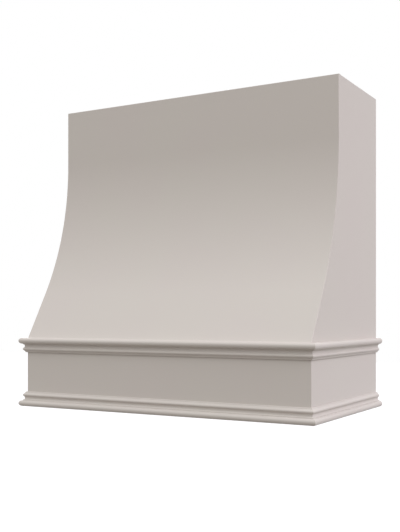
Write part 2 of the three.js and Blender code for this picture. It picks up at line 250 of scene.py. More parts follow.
# Round a soft corner: the line sets out towards it and comes to its end as if from it
def easeTo(corner, end, steps=6):
    start = lineEnd()
    for step in range(1, steps + 1):
        share = step / steps
        lineTo(start * (1 - share) ** 2 + corner * 2 * share * (1 - share) + end * share ** 2)


def mergeDoubles(gap=0.000001):
    bpy.ops.mesh.select_all(action="SELECT")
    bpy.ops.mesh.remove_doubles(threshold=gap)


# A thin or wound shape can come out inside out, so its volume is looked at as well
def turnOutwards():
    bpy.ops.mesh.select_all(action="SELECT")
    bpy.ops.mesh.normals_make_consistent(inside=False)
    if bmesh.from_edit_mesh(bpy.context.object.data).calc_volume(signed=True) < 0:
        bpy.ops.mesh.flip_normals()


# Closes the line, fills it and draws it out into a solid
def drawOut(first, length):
    lineTo(first)
    mergeDoubles()
    bpy.ops.mesh.edge_face_add()
    drawTo(length)
    turnOutwards()


def sawOff(place, normal, keepInner=True):
    bpy.ops.mesh.select_all(action="SELECT")
    bpy.ops.mesh.bisect(
        plane_co=place, plane_no=normal, use_fill=True, clear_outer=keepInner, clear_inner=not keepInner
    )


# Adds a modifier with its settings and applies it
def modify(piece, kind, settings):
    bpy.context.view_layer.objects.active = piece
    modifier = piece.modifiers.new("change", kind)
    for name, value in settings.items():
        setattr(modifier, name, value)
    bpy.ops.object.modifier_apply(modifier=modifier.name)


def softenArrises(piece, width, segments=2):
    limit = {"limit_method": "ANGLE", "angle_limit": math.radians(sharpDegrees)}
    modify(piece, "BEVEL", {"width": width, "segments": segments, **limit})


# Takes the cutter out of the piece and throws the cutter away
def cutWith(piece, cutter):
    modify(piece, "BOOLEAN", {"operation": "DIFFERENCE", "object": cutter})
    bpy.data.objects.remove(cutter)


def joined(name, parts):
    selectOnly(*parts)
    if len(parts) > 1:
        bpy.ops.object.join()
    parts[0].name = name
    return parts[0]


# Gives each finish to the faces that pass its test; a later finish goes over an earlier one
def finishFaces(piece, *finishes):
    startEditing(piece)
    for number, (material, test) in enumerate(finishes):
        piece.data.materials.append(material)
        pickFaces(test)
        piece.active_material_index = number
        bpy.ops.object.material_slot_assign()
    bpy.ops.mesh.select_all(action="DESELECT")
    stopEditing()


# Rounds run smoothly into flat faces, and the flat faces stay flat to the eye
def shadeLikeWood(piece, smoothDegrees):
    bpy.ops.object.shade_smooth_by_angle(angle=math.radians(smoothDegrees))
    modify(piece, "WEIGHTED_NORMAL", {"keep_sharp": True})


# Shades a finished piece and hangs it on its body in the place of its node. The facets of an eased arris
# turn by 30 degrees, so the limit for smooth shading stays clear of that.
def hang(piece, node, smoothDegrees=32):
    shadeLikeWood(piece, smoothDegrees)
    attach(piece, "wall_cleat" if node == "wall_cleat" else "cover")
    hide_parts(node)
    piece.select_set(False)


# Materials

# A hex colour as linear light, by the sRGB curve
def linearColour(code):
    channels = [int(code[place:place + 2], 16) / 255 for place in (1, 3, 5)]
    linear = [c / 12.92 if c <= 0.04045 else ((c + 0.055) / 1.055) ** 2.4 for c in channels]
    return (*linear, 1)


# Fills in a node's settings and sockets, with a link where the value is another node or its socket
def setNode(tree, node, values):
    for name, value in values.items():
        if isinstance(value, bpy.types.Node):
            value = value.outputs[0]
        if isinstance(value, bpy.types.NodeSocket):
            tree.links.new(value, node.inputs[name])
        elif isinstance(name, int) or name in node.inputs:
            node.inputs[name].default_value = value
        else:
            setattr(node, name, value)


# Adds a node with its settings and links
def addNode(tree, kind, values=None):
    node = tree.nodes.new("ShaderNode" + kind)
    setNode(tree, node, values or {})
    return node


def setRamp(ramp, stops):
    elements = ramp.color_ramp.elements
    while len(elements) < len(stops):
        elements.new(0.5)
    for element, (place, code) in zip(elements, stops):
        element.position = place
        element.color = linearColour(code)


# The empty node tree of a material or a world
def emptyTree(owner):
    owner.use_nodes = True
    owner.node_tree.nodes.clear()
    return owner.node_tree


def startMaterial(name):
    material = bpy.data.materials.new(name)
    tree = emptyTree(material)
    surface = addNode(tree, "BsdfPrincipled")
    addNode(tree, "OutputMaterial", {"Surface": surface})
    place = addNode(tree, "TexCoord").outputs["Object"]
    return material, tree, surface, place


# Sprayed satin lacquer: one even warm grey film with a soft shine and the faintest orange peel
lacquer = {
    "patches": [(0.35, "#CBC4BD"), (0.65, "#CBC3BD")],  # the second where the film lies a touch thinner
    "patchWidth": 0.18,
    "peelWidth": 0.003,  # real orange peel is 1 to 2 mm wide, drawn coarser so that it shows close up
    "peelDepth": 0.00001,
    "roughness": (0.46, 0.5),
    "ior": 1.47,
}


def sprayedLacquer():
    material, tree, surface, place = startMaterial("sprayed satin lacquer")
    patches = addNode(tree, "TexNoise", {"Scale": 1 / lacquer["patchWidth"], "Detail": 3, "Vector": place})
    colour = addNode(tree, "ValToRGB", {"Fac": patches})
    setRamp(colour, lacquer["patches"])
    smooth, dull = lacquer["roughness"]
    shine = addNode(tree, "MapRange", {"To Min": smooth, "To Max": dull, "Value": patches})
    peel = addNode(tree, "TexNoise", {"Scale": 1 / lacquer["peelWidth"], "Detail": 1, "Vector": place})
    bump = addNode(tree, "Bump", {"Distance": lacquer["peelDepth"], "Height": peel})
    setNode(
        tree,
        surface,
        {"Base Color": colour, "Roughness": shine, "Normal": bump, "IOR": lacquer["ior"]},
    )
    return material


# Scales that stretch a pattern along the grain, in patterns to the metre
def grainScale(along, length, width):
    return [1 / length if axis == along else 1 / width for axis in "XYZ"]


# A pattern that is stretched along the grain
def grainPattern(tree, place, scale, settings):
    stretched = addNode(tree, "Mapping", {"Scale": scale, "Vector": place})
    return addNode(tree, "TexNoise", {"Scale": 1, "Vector": stretched, **settings})


# Darkens and lightens a colour by a pattern, nearly all of whose values lie between 0.3 and 0.7
def toneBy(tree, colour, pattern, tone):
    darkest, lightest = tone
    factor = addNode(
        tree,
        "MapRange",
        {"From Min": 0.3, "From Max": 0.7, "To Min": darkest, "To Max": lightest, "Value": pattern},
    )
    return addNode(tree, "VectorMath", {"operation": "MULTIPLY", 0: colour, 1: factor})


# Rotary cut birch face veneer: pale and satiny, with a broad wavy figure and short fine pores
birch = {
    "figure": [(0.3, "#E7D6B6"), (0.52, "#DCC59C"), (0.74, "#C9AB7C")],
    "figureLength": 0.42,
    "figureWidth": 0.032,
    "figureWaves": {"Detail": 6, "Roughness": 0.55, "Distortion": 1.4},
    "poreLength": 0.009,
    "poreWidth": 0.0007,  # real pores are about 0.1 mm wide, drawn coarser so that they show
    "poreSpan": (0.6, 0.74),  # of the pores' pattern, from none to full
    "poreColour": "#B08E5E",
    "poreStrength": 0.7,
    "grainDepth": 0.00004,
    "roughness": 0.58,
}


def birchVeneer(name, along):
    material, tree, surface, place = startMaterial(name)
    broad = grainScale(along, birch["figureLength"], birch["figureWidth"])
    colour = addNode(tree, "ValToRGB", {"Fac": grainPattern(tree, place, broad, birch["figureWaves"])})
    setRamp(colour, birch["figure"])
    fine = grainScale(along, birch["poreLength"], birch["poreWidth"])
    pores = grainPattern(tree, place, fine, {"Detail": 2})
    none, full = birch["poreSpan"]
    poreShare = addNode(
        tree,
        "MapRange",
        {"From Min": none, "From Max": full, "To Min": 0, "To Max": birch["poreStrength"], "Value": pores},
    )
    poreColour = linearColour(birch["poreColour"])
    mixed = addNode(tree, "MixRGB", {"Fac": poreShare, "Color1": colour, "Color2": poreColour})
    bump = addNode(tree, "Bump", {"Distance": birch["grainDepth"], "Height": pores})
    setNode(tree, surface, {"Base Color": mixed, "Normal": bump, "Roughness": birch["roughness"]})
    return material


# Sanded plywood edge: pale long-grain plies between darker end-grain ones, with thin brown glue lines
plyEdge = {
    "longGrain": "#DFC89F",
    "endGrain": "#BD9A68",
    "glue": "#7E5B38",
    "glueShare": 0.05,  # of a pair of plies, each side of a glue line
    "fibreLength": 0.011,
    "fibreWidth": 0.0009,  # real fibres are finer, drawn coarser so that they show
    "tone": (0.82, 1.08),
    "roughness": 0.72,
    "sandedDepth": 0.00006,
}


def plywoodEdge(name, across, start, thickness, plies):
    material, tree, surface, place = startMaterial(name)
    parts = addNode(tree, "SeparateXYZ", {"Vector": place})
    pairEnd = start + 2 * thickness / plies
    count = addNode(
        tree,
        "MapRange",
        {"clamp": False, "From Min": start, "From Max": pairEnd, "Value": parts.outputs[across]},
    )
    share = addNode(tree, "Math", {"operation": "FRACT", 0: count})
    bands = addNode(tree, "ValToRGB", {"Fac": share})
    long, end, glue, thin = (plyEdge[key] for key in ("longGrain", "endGrain", "glue", "glueShare"))
    before, after = 0.5 - thin, 0.5 + thin  # round the glue line in the middle of a pair
    stops = [(0, glue), (thin, long), (before, long), (0.5, glue), (after, end), (1 - thin, end), (1, glue)]
    setRamp(bands, stops)
    fine = grainScale(across, plyEdge["fibreWidth"], plyEdge["fibreLength"])
    fibres = grainPattern(tree, place, fine, {"Detail": 3})
    toned = toneBy(tree, bands, fibres, plyEdge["tone"])
    bump = addNode(tree, "Bump", {"Distance": plyEdge["sandedDepth"], "Height": fibres})
    setNode(tree, surface, {"Base Color": toned, "Normal": bump, "Roughness": plyEdge["roughness"]})
    return material


# Planed pine: honey coloured, cut flat beside the heart of the log, so that the dark thin latewood rings
# run in long arches along the wide face; a few knots
pine = {
    "early": "#ECD8B2",
    "middle": "#E3C897",
    "late": "#C6955C",
    "ringStops": (0, 0.5, 0.84, 0.93, 1),  # of a ring: early, middle, late from and to, early
    "ringSpacing": 0.0048,
    "heartBehind": 0.052,  # from the board's middle through its thickness to the heart of the log
    "heartAside": 0.2,  # of the board's width
    "leanDegrees": 1.6,  # of the log's heart from the board's length
    "warpRings": 2.6,  # how many rings the growth wanders
    "warpLength": 0.34,
    "warpWidth": 0.05,
    "fibreLength": 0.05,
    "fibreWidth": 0.0011,  # real fibres are finer, drawn coarser so that they show
    "tone": (0.9, 1.05),
    "roughness": 0.6,
    "planedDepth": 0.00005,
}

# Distances round a knot are in shares of its cell
knot = {
    "heart": "#A87847",
    "bark": "#5F3A1F",
    "cell": (0.13, 0.1),  # along and across the board
    "bareShare": 0.75,  # of the cells, which hold no knot
    "spread": 0.36,  # how far a knot strays within its cell
    "heartRadius": 0.054,
    "radius": 0.09,
    "fadeRadius": 0.1125,
    "strength": 0.9,
    "swell": (0.04, 0.32),  # the grain bends round a knot between these distances
    "swellRings": 3,
}


# The distance from the nearest knot, and 1 where its cell holds one or 0 where it doesn't
def pineKnots(tree, place, low, high, along, acrossAxes):
    scale = grainScale(along, *knot["cell"])
    shift = [0, 0, 0]  # brings the knots to the middle of the board
    for number in acrossAxes:
        cells = (low[number] + high[number]) / 2 * scale[number]
        shift[number] = round(cells) - cells + knot["spread"] / 2
    cell = addNode(tree, "Mapping", {"Scale": scale, "Location": shift, "Vector": place})
    knots = addNode(tree, "TexVoronoi", {"Scale": 1, "Randomness": knot["spread"], "Vector": cell})
    draw = addNode(tree, "SeparateColor", {"Color": knots.outputs["Color"]})
    chosen = addNode(tree, "Math", {"operation": "GREATER_THAN", 0: draw, 1: knot["bareShare"]})
    return knots, chosen


# Rings round the heart of the log, which wander and bend round the knots
def pineRings(tree, place, heart, lean, along, push):
    fromHeart = addNode(
        tree, "Mapping", {"vector_type": "TEXTURE", "Location": heart, "Rotation": lean, "Vector": place}
    )
    acrossOnly = [axis != along for axis in "XYZ"]
    across = addNode(tree, "VectorMath", {"operation": "MULTIPLY", 0: fromHeart, 1: acrossOnly})
    radius = addNode(tree, "VectorMath", {"operation": "LENGTH", 0: across}).outputs["Value"]
    slow = grainScale(along, pine["warpLength"], pine["warpWidth"])
    waves = grainPattern(tree, place, slow, {"Detail": 3})
    wander = addNode(tree, "Math", {"operation": "MULTIPLY_ADD", 0: waves, 1: pine["warpRings"], 2: push})
    perMetre = 1 / pine["ringSpacing"]
    count = addNode(tree, "Math", {"operation": "MULTIPLY_ADD", 0: radius, 1: perMetre, 2: wander})
    colour = addNode(tree, "ValToRGB", {"Fac": addNode(tree, "Math", {"operation": "FRACT", 0: count})})
    early, middle, late = pine["early"], pine["middle"], pine["late"]
    setRamp(colour, list(zip(pine["ringStops"], (early, middle, late, late, early))))
    return colour


def planedPine(name, low, high, endForEnd=False):
    material, tree, surface, place = startMaterial(name)
    thin, wide, long = sorted(range(3), key=lambda number: high[number] - low[number])
    along = "XYZ"[long]
    heart = (low + high) / 2
    heart[thin] += pine["heartBehind"]
    heart[wide] += (high[wide] - low[wide]) * pine["heartAside"]
    lean = [0, 0, 0]
    lean[wide] = math.radians(-pine["leanDegrees"] if endForEnd else pine["leanDegrees"])

    knots, chosen = pineKnots(tree, place, low, high, along, (thin, wide))
    near, far = knot["swell"]
    bend = {"From Min": near, "From Max": far, "To Min": knot["swellRings"], "To Max": 0}
    swell = addNode(tree, "MapRange", {**bend, "interpolation_type": "SMOOTHSTEP", "Value": knots})
    push = addNode(tree, "Math", {"operation": "MULTIPLY", 0: swell, 1: chosen})
    rings = pineRings(tree, place, heart, lean, along, push)
    fine = grainScale(along, pine["fibreLength"], pine["fibreWidth"])
    fibres = grainPattern(tree, place, fine, {"Detail": 3})
    toned = toneBy(tree, rings, fibres, pine["tone"])

    knotColour = addNode(tree, "ValToRGB", {"Fac": knots})
    stops = [(0, knot["heart"]), (knot["heartRadius"], knot["heart"]), (knot["radius"], knot["bark"])]
    setRamp(knotColour, stops)
    fade = {"From Min": knot["radius"], "From Max": knot["fadeRadius"]}
    knotShare = addNode(tree, "MapRange", {**fade, "To Min": knot["strength"], "To Max": 0, "Value": knots})
    knotThere = addNode(tree, "Math", {"operation": "MULTIPLY", 0: knotShare, 1: chosen})
    mixed = addNode(tree, "MixRGB", {"Fac": knotThere, "Color1": toned, "Color2": knotColour})
    bump = addNode(tree, "Bump", {"Distance": pine["planedDepth"], "Height": fibres})
    setNode(tree, surface, {"Base Color": mixed, "Normal": bump, "Roughness": pine["roughness"]})
    return material


# Bright zinc plate: cool silver with a cloudy, faintly blue and yellow passivation
zinc = {
    "clouds": [(0.35, "#CBCED0"), (0.7, "#BDB9AA")],
    "cloudWidth": 0.009,
    "roughness": (0.26, 0.42),
    "rollLength": 0.02,
    "rollWidth": 0.0004,
    "rollDepth": 0.00001,
}


def zincPlate():
    material, tree, surface, place = startMaterial("bright zinc plated steel")
    clouds = addNode(tree, "TexNoise", {"Scale": 1 / zinc["cloudWidth"], "Detail": 4, "Vector": place})
    colour = addNode(tree, "ValToRGB", {"Fac": clouds})
    setRamp(colour, zinc["clouds"])
    smooth, dull = zinc["roughness"]
    shine = addNode(tree, "MapRange", {"To Min": smooth, "To Max": dull, "Value": clouds})
    lines = grainPattern(tree, place, grainScale("Z", zinc["rollLength"], zinc["rollWidth"]), {"Detail": 1})
    bump = addNode(tree, "Bump", {"Distance": zinc["rollDepth"], "Height": lines})
    setNode(tree, surface, {"Base Color": colour, "Roughness": shine, "Normal": bump, "Metallic": 1})
    return material


painted = sprayedLacquer()
veneerUp = birchVeneer("birch veneer, grain upright", "Z")
veneerAcross = birchVeneer("birch veneer, grain across", "X")
steel = zincPlate()
print("materials made")


# Curved front panel: a block bent round the hollow curve and drawn down the slope

frontPanel = {
    "arris": 0.0012,
    "plies": 9,
    "overrun": 0.03,  # of the slope past its foot, sawn off again
}


def curvedFront():
    faceY = -curve["topDepth"]
    panel = addBlock(
        "curved_front_panel_finished",
        (-halfWidth, faceY, curveTopZ),
        (halfWidth, faceY + curve["skin"], topZ),
    )
    startEditing(panel)
    pickFaces(facing(-upwards))
    followCurve()
    run = (curveFootZ - apronTopZ) / math.cos(slope) + frontPanel["overrun"]
    drawTo(Vector((0, -math.sin(slope), -math.cos(slope))) * run)
    sawOff((0, 0, apronTopZ), upwards, keepInner=False)
    turnOutwards()
    easeRound(-toBack, (toRight, -toRight, upwards), frontPanel["arris"])
    stopEditing()
    topEdge = plywoodEdge("edge of the bent plywood", "Y", faceY, curve["skin"], frontPanel["plies"])
    finishFaces(
        panel,
        (painted, everywhere),
        (veneerAcross, facing(toBack, least=0.5)),
        (topEdge, anyOf(facing(upwards, least=0.95), facing(-upwards, least=0.95))),
    )
    hang(panel, "curved_front_panel")


# Side panels: the outline is drawn from the top down the front edge, and filled

sidePanels = {
    "arris": 0.0012,
    "plies": 13,
    "pastFace": 0.01,  # how far the cutter of a rail's housing runs past an open face
}


def sidePanel(hand, sign):
    behind = curve["skin"]
    outerX = sign * halfWidth
    insideDepth = bandDepth - apronThickness
    topCorner = Vector((outerX, behind - curve["topDepth"], topZ))
    panel = startLine(f"{hand}_side_panel_finished", topCorner)
    lineTo(topCorner + upwards * (curveTopZ - topZ))
    followCurve()
    lineTo(slopePoint(outerX, behind, apronTopZ))
    lineTo((outerX, -insideDepth, apronTopZ), (outerX, -insideDepth, footZ))
    lineTo((outerX, 0, footZ), (outerX, 0, topZ))
    thickness = halfWidth - insideHalf
    drawOut(topCorner, toRight * -sign * thickness)
    easeRound(toRight * sign, (toBack, upwards, -upwards), sidePanels["arris"])
    stopEditing()
    for rail in ("hanging_rail", "lower_back_rail"):
        railLow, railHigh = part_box(rail)
        pastTop = sidePanels["pastFace"] if railHigh.z > topZ - glueLine else 0
        past = Vector((0, sidePanels["pastFace"], pastTop))
        cutWith(panel, addBlock("housing", railLow, railHigh + past))
    start = insideHalf if sign > 0 else -halfWidth
    edge = plywoodEdge(f"edge of the {hand} side", "X", start, thickness, sidePanels["plies"])
    finishFaces(
        panel,
        (veneerUp, everywhere),
        (edge, edgeOn(toRight)),
        (painted, anyOf(facing(toRight * sign, least=0.3), facing(-upwards, least=0.3))),
    )
    hang(panel, f"{hand}_side_panel")


# Apron: the upright band between the two mouldings

apron = {"arris": 0.0012}


def apronBoard():
    board = addBlock("apron_board_finished", apronLow, apronHigh)
    startEditing(board)
    easeRound(-toBack, (toRight, -toRight, -upwards), apron["arris"])
    stopEditing()
    finishFaces(board, (painted, everywhere), (veneerAcross, anyOf(facing(toBack), facing(upwards))))
    hang(board, "apron_board")


# Mouldings: one section of nose, fillet, cove and bead, drawn for each length and mitred at the corners

moulding = {
    "height": 0.043,
    "noseMiddle": (0.0099, 0.0087),  # out from the band and along from the nose's edge
    "noseRadius": 0.0087,
    "noseTo": 82,  # degrees from straight out
    "filletOut": 0.0094,  # small upright step between nose and cove
    "filletWidth": 0.0018,
    "coveFloor": 0.0053,
    "coveDeepest": 0.5,  # of the way from fillet to bead
    "coveEase": 0.0012,
    "beadMiddle": (0.0048, 0.0331),
    "beadRadius": 0.0046,
    "beadFrom": -57,
    "beadTo": 54,
    "edge": 0.004,
    "edgeRound": 0.0018,
    "roundSteps": 18,
    "overrun": 0.03,  # of each length past its mitre, sawn off again
}


# corner is where the nose's edge meets the band; out and along are unit vectors
def mouldingLength(name, corner, out, along, length, mitres):
    def at(outward, upward):
        return corner + out * outward + along * upward

    axis = out.cross(along)
    steps = moulding["roundSteps"]
    noseMiddle = moulding["noseMiddle"]
    beadMiddle = moulding["beadMiddle"]
    beadFrom, beadTo = math.radians(moulding["beadFrom"]), math.radians(moulding["beadTo"])
    filletStart = noseMiddle[1] + moulding["noseRadius"]
    filletEnd = filletStart + moulding["filletWidth"]
    beadStart = beadMiddle[1] + moulding["beadRadius"] * math.sin(beadFrom)
    beadStartOut = beadMiddle[0] + moulding["beadRadius"] * math.cos(beadFrom)
    beadEnd = beadMiddle[1] + moulding["beadRadius"] * math.sin(beadTo)
    coveAlong = filletEnd + (beadStart - filletEnd) * moulding["coveDeepest"]
    floor = moulding["coveFloor"]
    edge, height, edgeRound = moulding["edge"], moulding["height"], moulding["edgeRound"]

    piece = startLine(name, at(-glueLine, 0))
    lineTo(at(noseMiddle[0], 0))
    turnAbout(at(*noseMiddle), axis, 90 + moulding["noseTo"], steps)
    lineTo(at(moulding["filletOut"], filletStart), at(moulding["filletOut"], filletEnd))
    easeTo(at(floor, filletEnd), at(floor, coveAlong))
    easeTo(at(floor, beadStart - moulding["coveEase"]), at(beadStartOut, beadStart))
    turnAbout(at(*beadMiddle), axis, moulding["beadTo"] - moulding["beadFrom"], steps)
    easeTo(at(edge, (beadEnd + height) / 2), at(edge, height - edgeRound))
    easeTo(at(edge, height), at(edge - edgeRound, height))
    lineTo(at(-glueLine, height))
    drawOut(at(-glueLine, 0), length)
    for place, normal, keepInner in mitres:
        sawOff(place, normal, keepInner)
    turnOutwards()
    stopEditing()
    return piece


def mouldingRound(place, noseZ, rise):
    along = upwards * rise
    mitre = {sign: ((sign * halfWidth, -bandDepth, 0), (sign, 1, 0)) for sign in (-1, 1)}
    sideFace, frontFace = halfWidth + glueLine, bandDepth + glueLine
    reach = halfWidth + moulding["overrun"]
    front = mouldingLength(
        f"{place}_moulding_front_finished",
        Vector((-reach, -frontFace, noseZ)),
        -toBack,
        along,
        toRight * 2 * reach,
        [(*mitre[-1], True), (*mitre[1], True)],
    )
    pieces = [(front, f"{place}_moulding_front")]
    for hand, sign in (("left", -1), ("right", 1)):
        piece = mouldingLength(
            f"{place}_moulding_{hand}_finished",
            Vector((sign * sideFace, 0, noseZ)),
            toRight * sign,
            along,
            -toBack * (bandDepth + moulding["overrun"]),
            [(*mitre[sign], False)],
        )
        pieces.append((piece, f"{place}_moulding_{hand}"))
    for piece, node in pieces:
        finishFaces(piece, (painted, everywhere))
        hang(piece, node, smoothDegrees=25)


# Caulk: a small hollow fillet where the slope runs down behind the upper moulding

caulk = {"rise": 0.002, "endInset": 0.0008}


def caulkLine(mouldingTopZ):
    x = -halfWidth + caulk["endInset"]
    foot = Vector((x, -bandDepth, apronTopZ))
    piece = startLine("upper_moulding_caulk", foot)
    lineTo((x, -bandDepth, mouldingTopZ))
    easeTo(slopePoint(x, 0, mouldingTopZ), slopePoint(x, 0, mouldingTopZ + caulk["rise"]))
    drawOut(foot, toRight * -2 * x)
    stopEditing()
    finishFaces(piece, (painted, everywhere))
    shadeLikeWood(piece, smoothDegrees=40)
    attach(piece, "cover")


curvedFront()
sidePanel("left", -1)
sidePanel("right", 1)
apronBoard()
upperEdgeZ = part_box("upper_moulding_front")[1].z
mouldingRound("upper", upperEdgeZ, -1)
mouldingRound("lower", footZ, 1)
caulkLine(upperEdgeZ)
print("painted pieces made")


# Screws

screws = {
    "headRadius": 0.004,
    "headTop": 0.93,  # of the head's radius, inside its rounded rim
    "rim": 0.0004,
    "rimRound": 0.6,  # of the rim
    "cone": 0.0022,
    "neck": 0.001,  # of plain shank below the cone
    "neckEnd": 0.0018,  # below the cone, inside the thread
    "neckEndRadius": 0.9,  # of the shank's
    "shankRadius": 0.0014,
    "threadRadius": 0.002,
    "threadTop": 0.0006,  # below the cone
    "pitch": 0.0018,
    "ridge": (0.55, 0.78),  # of the pitch, where a ridge begins and where it is highest
    "point": 0.005,
    "bluntness": 0.1,  # of the radius, left at the point
    "seamGap": 0.00001,  # between the turns of the thread, closed
    "sides": 20,
    "slotLength": 0.0044,
    "slotWidth": 0.001,
    "slotDepth": 0.0018,
    "slotTaper": 0.55,
    "holeSpare": 0.0003,
    "holeSides": 32,
}


# Stands a circle up into a turned body: each step goes down to a height and out to a radius
def turnedBody(name, outline, sides):
    bpy.ops.object.select_all(action="DESELECT")
    radius, height = outline[0]
    bpy.ops.mesh.primitive_circle_add(
        vertices=sides, radius=radius, fill_type="NGON", location=(0, 0, height)
    )
    body = bpy.context.object
    body.name = name
    placeInMesh()
    bpy.ops.object.mode_set(mode="EDIT")
    bpy.ops.mesh.select_mode(type="FACE")
    bpy.ops.mesh.select_all(action="SELECT")
    for nextRadius, nextHeight in outline[1:]:
        drawTo((0, 0, nextHeight - height))
        ratio = nextRadius / radius
        bpy.ops.transform.resize(value=(ratio, ratio, 1), center_override=(0, 0, nextHeight))
        radius, height = nextRadius, nextHeight
    turnOutwards()
    stopEditing()
    return body


# Puts a piece that was made hanging down from the origin at a head's place, pointing its own way
def drive(piece, head, way):
    piece.rotation_mode = "QUATERNION"
    piece.rotation_quaternion = (-upwards).rotation_difference(way)
    piece.location = head
    selectOnly(piece)
    placeInMesh()
    piece.rotation_mode = "XYZ"


# One turn of thread is drawn as a ridge and wound down the shank
def thread(threadTopZ, endZ):
    core, crest, pitch = screws["shankRadius"], screws["threadRadius"], screws["pitch"]
    ridgeFootZ, ridgeTopZ = (threadTopZ - pitch * share for share in screws["ridge"])
    wound = startLine("thread", (core, 0, threadTopZ))
    lineTo((core, 0, ridgeFootZ), (crest, 0, ridgeTopZ), (core, 0, threadTopZ - pitch))
    stopEditing()
    winding = {
        "screw_offset": -pitch,
        "iterations": int((threadTopZ - endZ) / pitch),
        "steps": screws["sides"],
        "render_steps": screws["sides"],
        "use_merge_vertices": True,
    }
    modify(wound, "SCREW", winding)
    startEditing(wound)
    bpy.ops.mesh.select_mode(type="VERT")
    mergeDoubles(screws["seamGap"])
    bpy.ops.mesh.select_all(action="SELECT")
    bpy.ops.mesh.fill_holes(sides=0)
    mesh = bmesh.from_edit_mesh(wound.data)
    for vertex in mesh.verts:
        toPoint = (vertex.co.z - endZ) / screws["point"]
        if toPoint < 1:
            vertex.co.xy *= max(screws["bluntness"], toPoint)
    bmesh.update_edit_mesh(wound.data)
    turnOutwards()
    stopEditing()
    return wound


def woodScrew(length):
    head, rim, neckZ = screws["headRadius"], screws["rim"], -screws["rim"] - screws["cone"]
    outline = [
        (head * screws["headTop"], 0),
        (head, -rim * screws["rimRound"]),
        (head, -rim),
        (screws["threadRadius"], neckZ),
        (screws["threadRadius"], neckZ - screws["neck"]),
        (screws["shankRadius"] * screws["neckEndRadius"], neckZ - screws["neckEnd"]),
    ]
    body = turnedBody("screw", outline, screws["sides"])
    longHalf, thinHalf, deep = screws["slotLength"] / 2, screws["slotWidth"] / 2, screws["slotDepth"]
    for halfX, halfY in ((longHalf, thinHalf), (thinHalf, longHalf)):
        blade = addBlock("blade", (-halfX, -halfY, -deep), (halfX, halfY, deep))
        startEditing(blade)
        pickFaces(facing(-upwards))
        taper = screws["slotTaper"]
        bpy.ops.transform.resize(value=(taper, taper, 1), center_override=(0, 0, -deep))
        stopEditing()
        cutWith(body, blade)
    return joined("screw", [body, thread(neckZ - screws["threadTop"], -length)])


def screwHole(head, way, length):
    radius = screws["headRadius"] + screws["holeSpare"]
    shank = screws["threadRadius"] + screws["holeSpare"] / 2
    rimZ = -screws["rim"]
    neckZ = rimZ - screws["cone"]
    outline = [(radius, screws["headRadius"]), (radius, rimZ), (shank, neckZ), (shank, -length)]
    hole = turnedBody("hole", outline, screws["holeSides"])
    drive(hole, head, way)
    return hole


# Name of each set, the numbers of its screws, and the way that they point
screwSets = [
    ("front_strip_screw", range(1, 4), -toBack),
    ("rear_strip_screw", range(1, 4), toBack),
    ("left_strip_screw", range(1, 3), -toRight),
    ("right_strip_screw", range(1, 3), toRight),
    ("floor_screw", range(1, 9), upwards),
    ("left_bracket_screw", range(1, 3), toBack),
    ("left_bracket_screw", range(3, 5), -toRight),
    ("right_bracket_screw", range(1, 3), toBack),
    ("right_bracket_screw", range(3, 5), toRight),
]


# Where each screw's head is, its way and its length, from the frame
def screwPlaces():
    places = {}
    for setName, numbers, way in screwSets:
        for number in numbers:
            low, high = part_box(f"{setName}_{number}")
            length = abs((high - low).dot(way))
            places[f"{setName}_{number}"] = ((low + high) / 2 - way * length / 2, way, length)
    return places


allScrews = screwPlaces()


def driveScrews():
    patterns = {}
    for node, (head, way, length) in allScrews.items():
        size = round(length, 4)
        if size not in patterns:
            patterns[size] = woodScrew(size)
        selectOnly(patterns[size])
        bpy.ops.object.duplicate()
        copy = bpy.context.object
        copy.name = f"{node}_finished"
        drive(copy, head, way)
        finishFaces(copy, (steel, everywhere))
        hang(copy, node, smoothDegrees=35)
    for pattern in patterns.values():
        bpy.data.objects.remove(pattern)


driveScrews()
print("screws driven")


# Holes for the screws of some sets, cut into a board
def drill(board, *setNames):
    holes = [
        screwHole(head, way, length)
        for node, (head, way, length) in allScrews.items()
        if node.rsplit("_", 1)[0] in setNames
    ]
    cutWith(board, joined("holes", holes))


# Pine boards: planed blocks with softened arrises

boards = {"arris": 0.0009}


def pineBoard(node, shape=None, drilledFor=(), endForEnd=False):
    low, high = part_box(node)
    board = addBlock(f"{node}_finished", low, high)
    if shape:
        startEditing(board)
        shape()
        turnOutwards()
        stopEditing()
    softenArrises(board, boards["arris"])
    if drilledFor:
        drill(board, *drilledFor)
    name = f"planed pine of the {node.replace('_', ' ')}"
    finishFaces(board, (planedPine(name, low, high, endForEnd), everywhere))
    hang(board, node, smoothDegrees=40)
    return board


# The bevel by which the cover hooks over the cleat rises by as much as the boards are thick

bevelRise = cleatHigh.y - cleatLow.y


def hookDown():
    pickFaces(facing(-upwards))
    slide(upwards * bevelRise)
    pickEdges(lambda middle, normals: between(normals, toBack, -upwards))
    slide(-upwards * bevelRise)


def hookUp():
    pickEdges(lambda middle, normals: between(normals, toBack, upwards))
    slide(-upwards * bevelRise)


studHoles = {
    "spacing": 0.4064,  # between studs at their usual centres
    "spread": 0.044,  # between the two holes at a stud, one over the other
    "radius": 0.0035,
    "sides": 32,
    "length": 0.1,  # of the drill, well through the cleat
}


def drillForStuds(cleat):
    middleZ = (cleatLow.z + cleatHigh.z - bevelRise) / 2
    bits = []
    for side in (-1, 1):
        for rise in (-1, 1):
            bpy.ops.object.select_all(action="DESELECT")
            bpy.ops.mesh.primitive_cylinder_add(
                vertices=studHoles["sides"],
                radius=studHoles["radius"],
                depth=studHoles["length"],
                location=(side * studHoles["spacing"] / 2, 0, middleZ + rise * studHoles["spread"] / 2),
                rotation=(math.radians(90), 0, 0),
            )
            placeInMesh()
            bits.append(bpy.context.object)
    cutWith(cleat, joined("bits", bits))


# The base rail's front is planed to the slope of the curved front
def planeToSlope():
    sawOff(slopePoint(0, curve["skin"], apronTopZ), (0, -math.cos(slope), math.sin(slope)))


